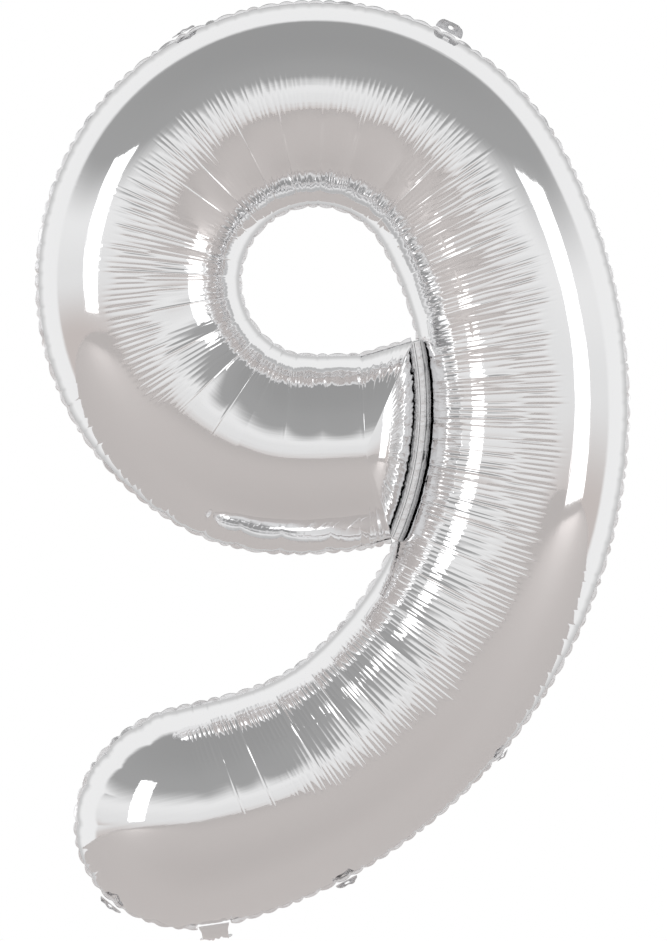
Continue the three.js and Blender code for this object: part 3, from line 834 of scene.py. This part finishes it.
def tab(name, arc, angle, width, height, fold, seed):
    """A tab of sealed film with its punched eyelet, slightly cupped and creased from the root."""
    outline = tab_outline(width, height)
    eye = np.array([0, height / 2])
    towards = outline - eye
    hole = eye + EYELET_RADIUS * towards / np.linalg.norm(towards, axis=1, keepdims=True)
    share = np.linspace(0, 1, TAB_RINGS)[:, None, None]
    flat = hole[None] * (1 - share) + outline[None] * share
    x, y = flat[..., 0], flat[..., 1]
    from_lip = np.linalg.norm(flat - eye, axis=-1) - EYELET_RADIUS
    lip = 0.22 * MM * np.exp(-((from_lip / (0.8 * MM)) ** 2))
    creases = 0.3 * MM * noise2(x / (2.6 * MM) + 40, y / (9 * MM) + 9, seed)
    cup = 1.1 * MM * (x / (width / 2)) ** 2 * (y / height)
    curl = 0.9 * MM * smoothstep(y / height, 0.5, 1.0) * noise(x / (5 * MM) + 30, seed + 1)
    rise = lip + (creases + curl) * smoothstep(y, 0, 0.3 * height) + cup
    root, out = tab_root(arc, angle)
    across = np.array([out[1], 0, -out[0]])
    tilt = math.radians(fold)
    up = math.cos(tilt) * np.array([out[0], 0, out[1]]) + math.sin(tilt) * np.array([0, -1, 0])
    proud = np.cross(across, up)
    origin = np.array([root[0], 0, root[1]])
    place = lambda z: origin + x[..., None] * across + y[..., None] * up + z[..., None] * proud
    front, back = place(rise + TAB_FILM / 2), place(rise - TAB_FILM / 2)
    rows, columns = x.shape
    points = np.concatenate([front.reshape(-1, 3), back.reshape(-1, 3)])
    at = np.arange(rows * columns).reshape(rows, columns)
    at = np.concatenate([at, at[:, :1]], axis=1)  # round and back to the first column
    under = at + rows * columns
    faces = [grid_quads(at), grid_quads(under)[:, ::-1]]
    faces += [rim_quads(at[0], under[0]), rim_quads(under[-1], at[-1])]
    faces = np.concatenate(faces).tolist()
    make_object(name + "_film", points, faces, sealed, name, [name])


# ---------- filling neck and valve ----------
NECK_HALF_STEP = 0.3 * MM  # from the middle of the neck to each film
NECK_HALF_FILM = 0.15 * MM
VALVE_FILM = 0.12 * MM


def neck_axes():
    """The middle of the neck on the seam line, its outward direction and the direction across it."""
    i = np.argmax(PATH_RUN > NECK_RUN)
    share = (NECK_RUN - PATH_RUN[i - 1]) / (PATH_RUN[i] - PATH_RUN[i - 1])
    at = PATH[i - 1] + share * (PATH[i] - PATH[i - 1])
    along = PATH[i] - PATH[i - 1]
    along = along / np.linalg.norm(along)
    outward = np.array([-along[1], 0, along[0]])
    backward = np.array([0, 1, 0])
    return np.array([at[0], 0, at[1]]), outward, backward, np.cross(outward, backward)


def neck_film(name, offset, seed):
    """One film of the neck: out through the seam, round a bend to the back, then flat. It is pleated
    along its length and crushed where it bends."""
    origin, outward, backward, across = neck_axes()
    bend = math.pi / 2 * NECK_BEND_RADIUS
    length = NECK_DROP + bend + NECK_TAIL
    run = np.linspace(0.4 * MM, length, 80)
    side = np.linspace(-0.5, 0.5, 90)
    angle = np.clip((run - NECK_DROP) / NECK_BEND_RADIUS, 0, math.pi / 2)
    past = np.clip(run - NECK_DROP - bend, 0, None)
    out = NECK_ROOT_GAP + np.clip(run, 0, NECK_DROP) + NECK_BEND_RADIUS * np.sin(angle)
    back = NECK_BEND_RADIUS * (1 - np.cos(angle)) + past
    normal_out, normal_back = np.sin(angle), -np.cos(angle)
    run_grid, side_grid = np.meshgrid(run, side, indexing="ij")
    free = smoothstep(run_grid, 4 * MM, 17 * MM)
    pleats = 1.2 * MM * noise2(side_grid * 9 + 20, run_grid / (16 * MM), seed)
    crush = 1.1 * MM * noise2(side_grid * 14 + 20, run_grid / (3.4 * MM), seed + 1)
    lift = offset + free * (pleats + crush * window(run_grid, 5 * MM, 24 * MM, 5 * MM))
    narrow = 1 - 0.16 * window(run_grid, 8 * MM, 20 * MM, 8 * MM)
    ruffle = 1.0 * MM * noise(run_grid / (4 * MM), seed + 2) * np.abs(side_grid) * 2 * free
    wide = side_grid * NECK_WIDTH * narrow + np.sign(side_grid) * ruffle

    def surface(extra):
        h = lift + extra
        o = out[:, None] + normal_out[:, None] * h
        b = back[:, None] + normal_back[:, None] * h
        return origin + o[..., None] * outward + b[..., None] * backward + wide[..., None] * across

    front, back = surface(NECK_HALF_FILM), surface(-NECK_HALF_FILM)
    points, faces = solid_grid(len(run), len(side), front, back)
    make_object(name + "_crumpled", points, faces, foil, "filling_neck", [name])


def valve(name, body, facing, seed):
    """One film of the valve, lying inside the tube and rippled by the gas that went past it."""
    origin, outward, backward, across = neck_axes()
    run = np.linspace(0, 1, 70)
    side = np.linspace(-0.5, 0.5, 24)
    run_grid, side_grid = np.meshgrid(run, side, indexing="ij")
    inward = -(VALVE_INSET + run_grid * VALVE_LENGTH)
    waist = 1 - 0.1 * np.sin(np.pi * run_grid)
    ripple = 0.5 * MM * (1 + noise2(run_grid * 9, side_grid * 3 + 5, seed))
    lift = facing * (GAP / 2 + ripple * smoothstep(run_grid, 0, 0.2))

    def surface(extra):
        y = (lift + extra)[..., None]
        return origin + inward[..., None] * outward + y * backward \
            + (side_grid * VALVE_WIDTH * waist)[..., None] * across

    inside, outside = surface(0), surface(facing * VALVE_FILM)
    front, back = (outside, inside) if facing < 0 else (inside, outside)
    points, faces = solid_grid(len(run), len(side), front, back)
    make_object(name + "_rippled", points, faces, valve_film, body, [name])


# ---------- the whole balloon ----------
foil = foil_material()
sealed = sealed_material()
valve_film = valve_material()
panel("front_panel", -1, foil, 100)
panel("back_panel", 1, foil, 900)
mouth_start, mouth_end = NECK_RUN - MOUTH_WIDTH / 2, NECK_RUN + MOUTH_WIDTH / 2
sealed_edge("outer_seam", 0, mouth_start, SEAM_WIDTH, OUTER_CURL, 210)
sealed_edge("tail_seam", mouth_end, inner_run(WELD_BOTTOM_ANGLE), SEAM_WIDTH, OUTER_CURL, 220)
sealed_edge("hole_seam", inner_run(WELD_TOP_ANGLE), PATH_RUN[-1], INNER_SEAM_WIDTH, HOLE_CURL, 230)
weld()
for seed, tab_row in enumerate(TABS):
    tab(*tab_row, seed=400 + 10 * seed)
neck_film("neck_front_film", NECK_HALF_STEP, 500)
neck_film("neck_back_film", -NECK_HALF_STEP, 500)
valve("valve_front_film", "valve_front", -1, 600)
valve("valve_back_film", "valve_back", 1, 610)

camera()
studio()
floor()
softbox("soft_left", (-3.2, -2.2, 0.6), 1.2)
softbox("soft_right", (3.3, -1.4, 0.2), 1.3)
bpy.context.scene.view_settings.view_transform = "Standard"
